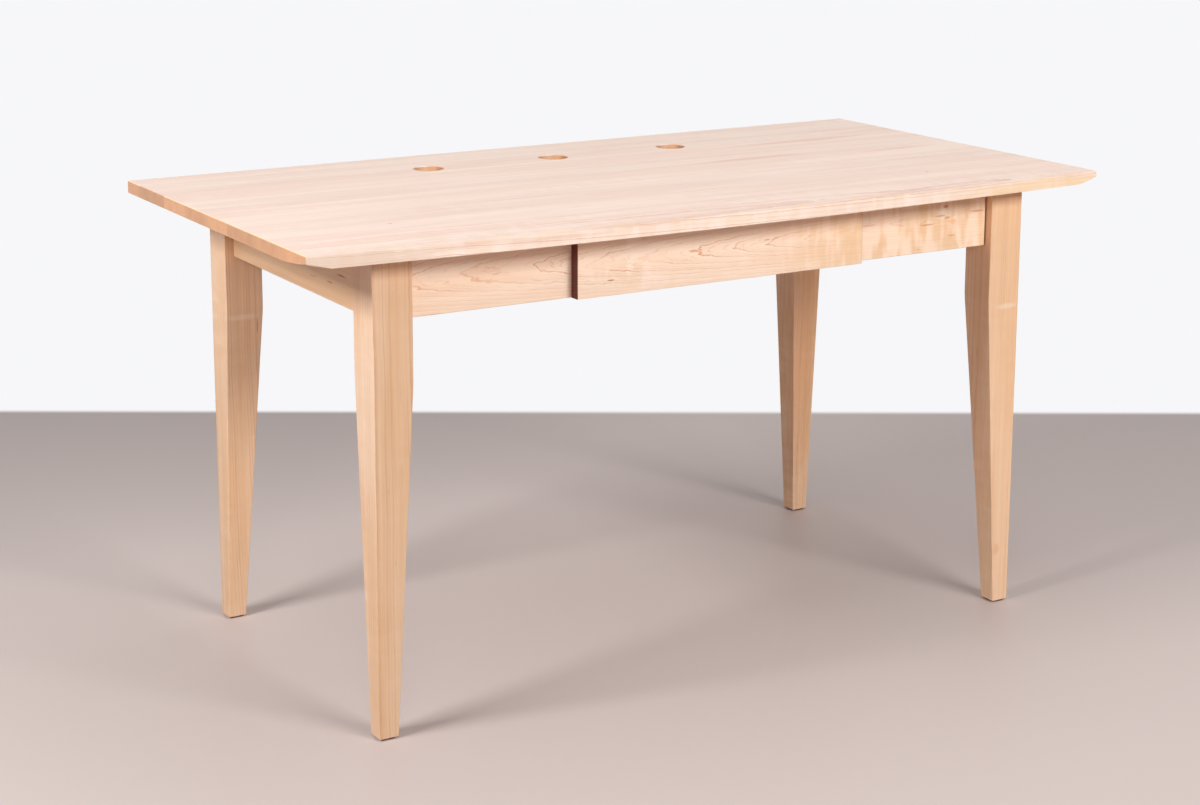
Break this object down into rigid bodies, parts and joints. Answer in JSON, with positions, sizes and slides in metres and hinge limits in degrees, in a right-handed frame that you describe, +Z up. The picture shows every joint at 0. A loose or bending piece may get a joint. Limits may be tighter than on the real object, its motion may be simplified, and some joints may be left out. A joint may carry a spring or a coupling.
{
  "type": "sewing desk",
  "caption": "Solid maple desk with tapered square legs, an overhanging top bowed at the front with round cord holes near the back, and a pull-less drawer in the front apron.",
  "frame": {"origin": "floor level, under the middle of the desk's bounding box", "axes": "+X to the right along the desk's length, -Y towards the sitter at the drawer side, +Z up"},
  "size_m": [1.524, 0.789, 0.796],
  "materials": {
    "maple_top": "clear satin finish on pale hard maple",
    "maple_legs": "clear satin finish on straight-grained maple",
    "maple_aprons": "clear satin finish on figured maple",
    "maple_inner": "sanded maple",
    "drawer_box": "clear finish on pale maple",
    "drawer_panel": "clear finish on maple plywood",
    "foot_pads": "black felt-faced pad",
    "screws": "zinc-plated steel"
  },
  "bodies": {
    "frame": {"top_board_1": "maple_top", "top_board_2": "maple_top", "top_board_3": "maple_top", "top_board_4": "maple_top", "top_board_5": "maple_top", "top_board_6": "maple_top", "top_board_7": "maple_top", "top_board_8": "maple_top", "leg_front_left": "maple_legs", "leg_front_right": "maple_legs", "leg_back_left": "maple_legs", "leg_back_right": "maple_legs", "apron_left": "maple_aprons", "apron_right": "maple_aprons", "apron_front": "maple_aprons", "apron_back": "maple_aprons", "cross_rail": "maple_inner", "corner_block_front_left": "maple_inner", "corner_block_front_right": "maple_inner", "corner_block_back_left": "maple_inner", "corner_block_back_right": "maple_inner", "drawer_runner_left": "maple_inner", "drawer_runner_right": "maple_inner", "drawer_kicker_left": "maple_inner", "drawer_kicker_right": "maple_inner", "drawer_guide_left": "maple_inner", "drawer_guide_right": "maple_inner", "top_buttons": "maple_inner", "foot_pad_front_left": "foot_pads", "foot_pad_front_right": "foot_pads", "foot_pad_back_left": "foot_pads", "foot_pad_back_right": "foot_pads", "top_button_screws": "screws"},
    "drawer": {"drawer_front": "maple_aprons", "drawer_box_front": "drawer_box", "drawer_side_left": "drawer_box", "drawer_side_right": "drawer_box", "drawer_box_back": "drawer_box", "drawer_bottom": "drawer_panel", "drawer_front_screws": "screws"}
  },
  "joints": [
    {"name": "drawer_slide", "type": "slide", "parent": "frame", "child": "drawer", "axis": [0, -1, 0], "range_m": [0, 0.36]}
  ]
}
